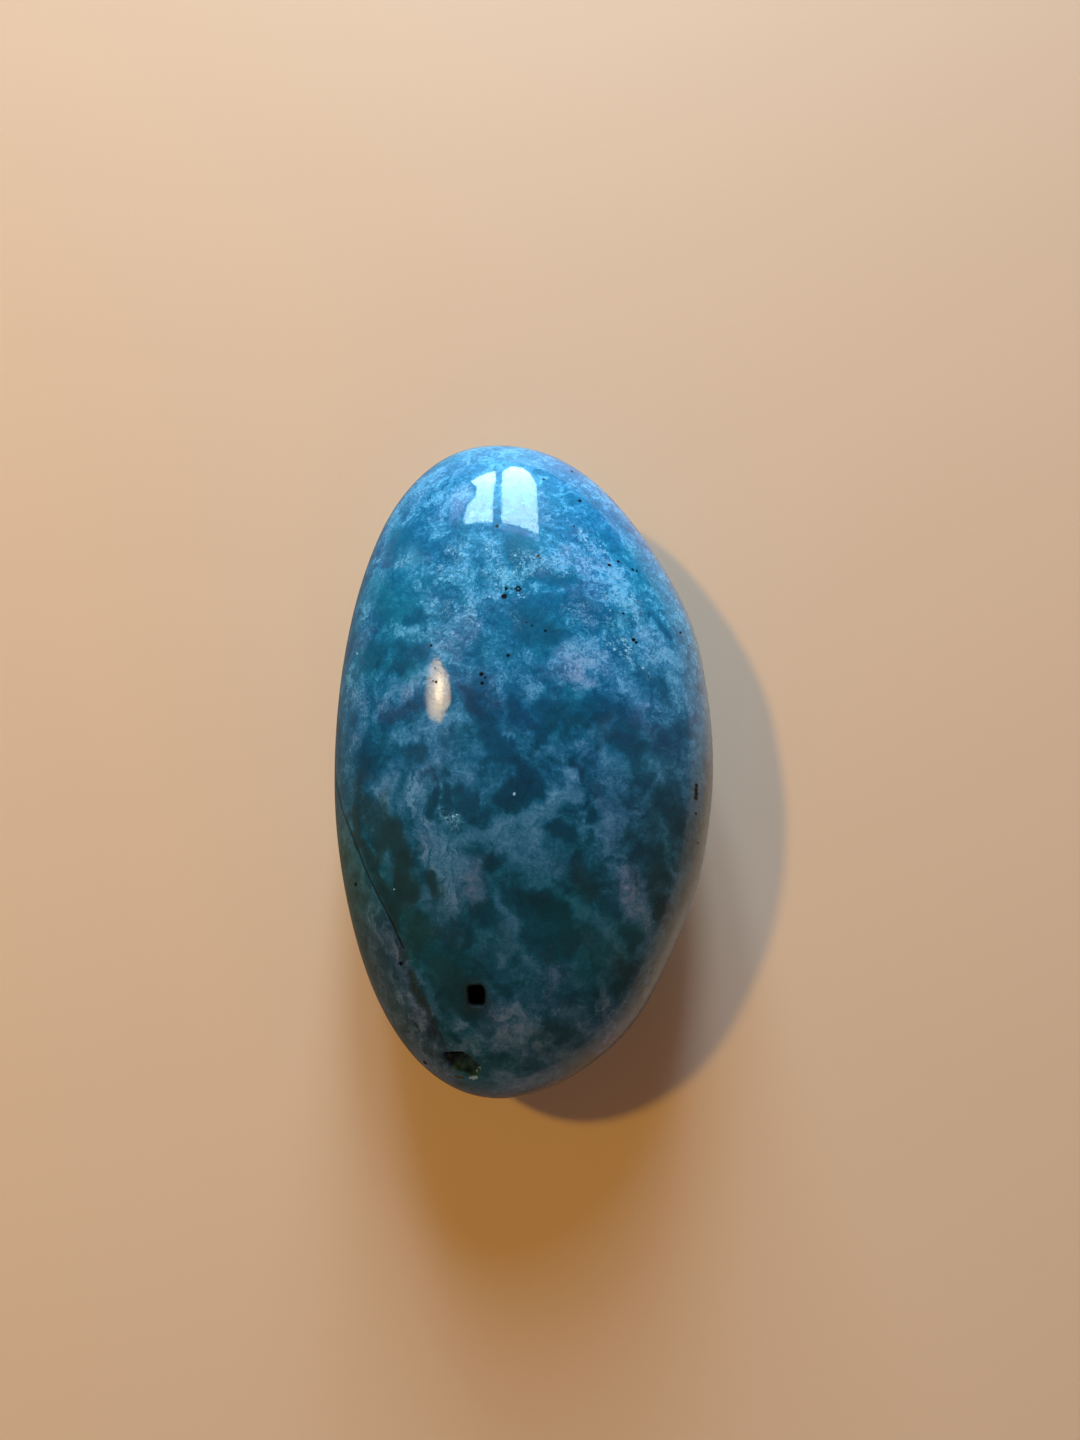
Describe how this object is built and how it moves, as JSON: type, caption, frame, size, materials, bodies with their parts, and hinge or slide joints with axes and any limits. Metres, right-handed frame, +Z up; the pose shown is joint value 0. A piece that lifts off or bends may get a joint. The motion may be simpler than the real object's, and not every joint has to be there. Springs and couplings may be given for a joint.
{
  "type": "polished amazonite palm stone",
  "caption": "Polished amazonite palm stone in the shape of a flattened egg, with a small pit and a chip near one end, lying on a small flat spot.",
  "frame": {"origin": "middle of the small flat spot under the belly, on which the stone rests", "axes": "+Z up out of the crown, +Y along the stone's length towards the end without the chip, +X across it"},
  "size_m": [0.0376, 0.0651, 0.0221],
  "materials": {
    "polished_amazonite": "polished"
  },
  "bodies": {
    "root": {"amazonite_stone": "polished_amazonite"}
  },
  "joints": []
}
